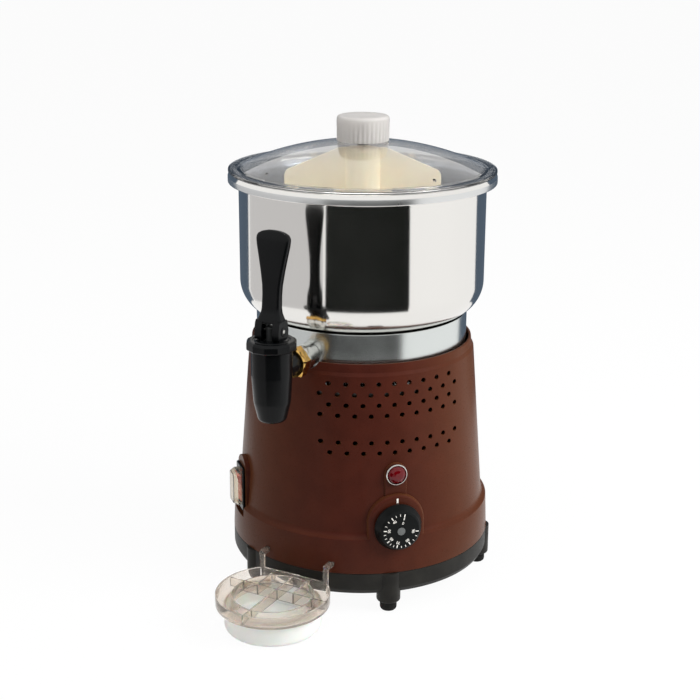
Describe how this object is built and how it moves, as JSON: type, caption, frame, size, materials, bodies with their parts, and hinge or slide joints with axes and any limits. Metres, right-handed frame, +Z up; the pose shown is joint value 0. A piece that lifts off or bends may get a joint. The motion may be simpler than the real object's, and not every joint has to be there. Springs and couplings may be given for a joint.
{
  "type": "hot chocolate dispenser",
  "caption": "Counter-top hot chocolate dispenser: a steel bowl with clear lid and mixing paddle on a brown vented housing, with a lever tap, thermostat dial and hook-on drip tray.",
  "frame": {"origin": "middle of the footprint of the whole machine with its drip tray, on the floor under the feet", "axes": "+Z up; the tap and the drip tray point to -Y; the thermostat dial is on the +X side; the machine axis stands at y = +44.4 mm"},
  "size_m": [0.2576, 0.3628, 0.454],
  "materials": {
    "brown_housing": "glossy chocolate-brown moulding",
    "black_plastic": "black moulded plastic",
    "black_rubber": "black rubber",
    "polished_steel": "fine circumferential satin polish",
    "plated_steel": "zinc plated",
    "brass": "bare brass",
    "copper": "bare copper",
    "clear_plastic": "clear polycarbonate",
    "smoked_plastic": "lightly smoked clear plastic",
    "milky_plastic": "translucent white plastic",
    "cream_plastic": "cream food-grade plastic",
    "red_lens": "transparent red lens",
    "orange_rocker": "lit orange-red rocker",
    "grey_plastic": "grey plastic"
  },
  "bodies": {
    "machine": {"base_pan": "black_plastic", "rubber_foot_1": "black_rubber", "rubber_foot_2": "black_rubber", "rubber_foot_3": "black_rubber", "rubber_foot_4": "black_rubber", "rubber_foot_5": "black_rubber", "bowl_seal": "black_rubber", "shaft_seal": "black_rubber", "housing": "brown_housing", "bowl": "polished_steel", "heating_jacket": "polished_steel", "centre_column": "polished_steel", "tap_inlet_tube": "polished_steel", "lamp_ring": "polished_steel", "heating_element": "plated_steel", "deck_plate": "plated_steel", "gearbox_case": "plated_steel", "gearbox_cover": "plated_steel", "motor_case": "plated_steel", "tap_spring": "plated_steel", "pillar_1": "plated_steel", "pillar_2": "plated_steel", "pillar_3": "plated_steel", "pillar_screw_1": "plated_steel", "pillar_screw_2": "plated_steel", "pillar_screw_3": "plated_steel", "housing_screw_1": "plated_steel", "housing_screw_2": "plated_steel", "housing_screw_3": "plated_steel", "column_nut": "brass", "lower_bush": "brass", "upper_bush": "brass", "tap_nut": "brass", "thermostat_bulb": "copper", "switch_cover": "clear_plastic", "lamp_lens": "red_lens", "thermostat_body": "grey_plastic", "lamp_body": "grey_plastic", "tap_body": "black_plastic", "tap_bonnet": "black_plastic", "switch_body": "black_plastic", "cable_gland": "black_plastic", "gland_nut": "black_plastic"},
    "drive": {"drive_shaft": "polished_steel", "drive_gear": "brass", "mixing_paddle": "cream_plastic"},
    "rotor": {"motor_rotor": "plated_steel"},
    "lid_set": {"lid": "clear_plastic", "lid_knob": "clear_plastic", "knob_screw": "plated_steel"},
    "plunger": {"tap_plunger": "grey_plastic", "valve_disc": "black_rubber"},
    "lever": {"tap_lever": "black_plastic", "lever_pin": "polished_steel"},
    "dial": {"thermostat_dial": "black_plastic", "dial_cap": "grey_plastic", "thermostat_spindle": "plated_steel"},
    "rocker": {"switch_rocker": "orange_rocker"},
    "drip_tray": {"drip_grille": "smoked_plastic", "drip_cup": "milky_plastic"}
  },
  "joints": [
    {"name": "lid_lift", "type": "slide", "parent": "machine", "child": "lid_set", "axis": [0, 0, 1], "range_m": [0, 0.09]},
    {"name": "paddle_spin", "type": "hinge", "parent": "machine", "child": "drive", "pos_m": [0, 0.0444, 0.3], "axis": [0, 0, 1], "continuous": true},
    {"name": "rotor_spin", "type": "hinge", "parent": "machine", "child": "rotor", "pos_m": [0, 0.0804, 0.16], "axis": [0, 0, 1], "continuous": true},
    {"name": "plunger_lift", "type": "slide", "parent": "machine", "child": "plunger", "axis": [0, 0, 1], "range_m": [0, 0.0045], "stiffness_N_per_m": 400, "springref_m": -0.006, "deforming": ["tap_spring"]},
    {"name": "lever_pull", "type": "hinge", "parent": "plunger", "child": "lever", "pos_m": [0, -0.1246, 0.287], "axis": [1, 0, 0], "range_deg": [0, 50]},
    {"name": "dial_turn", "type": "hinge", "parent": "machine", "child": "dial", "pos_m": [0.09344, -0.05304, 0.0882], "axis": [0.6921, -0.7218, 0], "range_deg": [-264, 12]},
    {"name": "switch_press", "type": "hinge", "parent": "machine", "child": "rocker", "pos_m": [-0.08659, -0.04527, 0.093], "axis": [-0.7193, 0.6947, 0], "range_deg": [0, 18]},
    {"name": "tray_slide", "type": "slide", "parent": "machine", "child": "drip_tray", "axis": [0, -1, 0], "range_m": [0, 0.08]}
  ],
  "couplings": [
    {"joint": "rotor_spin", "follows": "paddle_spin", "ratio": -5},
    {"joint": "plunger_lift", "follows": "lever_pull", "m_per_rad": 0.0051561}
  ]
}
